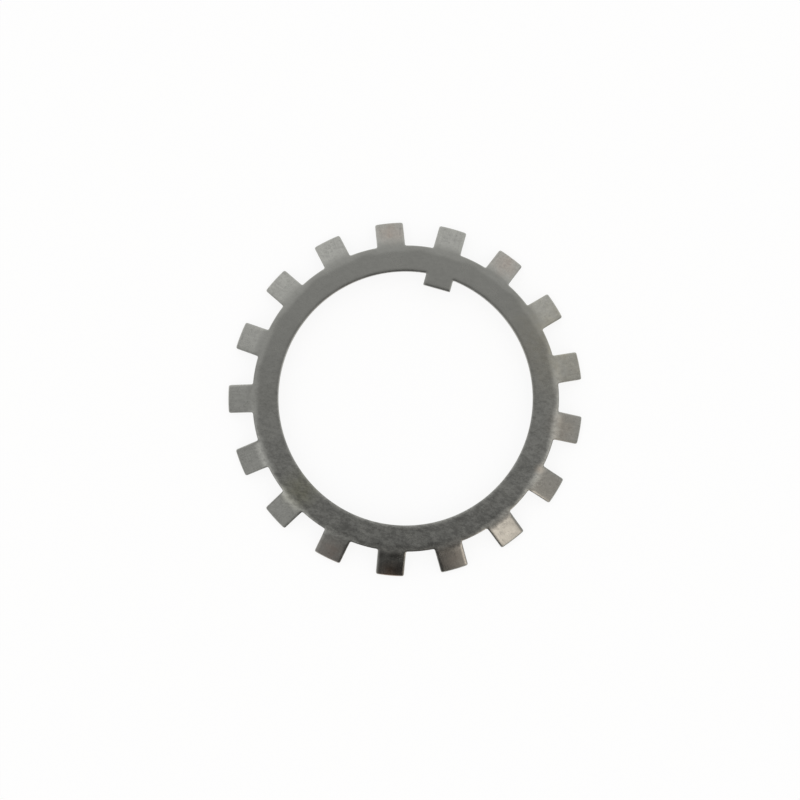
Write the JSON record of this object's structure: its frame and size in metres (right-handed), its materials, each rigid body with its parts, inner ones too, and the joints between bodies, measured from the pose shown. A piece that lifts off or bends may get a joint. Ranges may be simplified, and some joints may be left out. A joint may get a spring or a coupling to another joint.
{
  "type": "tab washer",
  "caption": "Flat steel lock washer with bent locking tabs round its rim and one inner tongue that keys it to a shaft, so that a tab can hold a slotted nut.",
  "frame": {"origin": "on the bore's axis, at the surface on which the washer lies on the tips of its tabs", "axes": "+Z along the bore's axis, from the tab tips towards the flat bearing face; +Y towards the inner tongue"},
  "size_m": [0.105, 0.1047, 0.0051],
  "materials": {
    "sheet_steel": "plain cold rolled sheet, tumbled after punching, lightly oiled"
  },
  "bodies": {
    "root": {"tab_washer": "sheet_steel"}
  },
  "joints": []
}
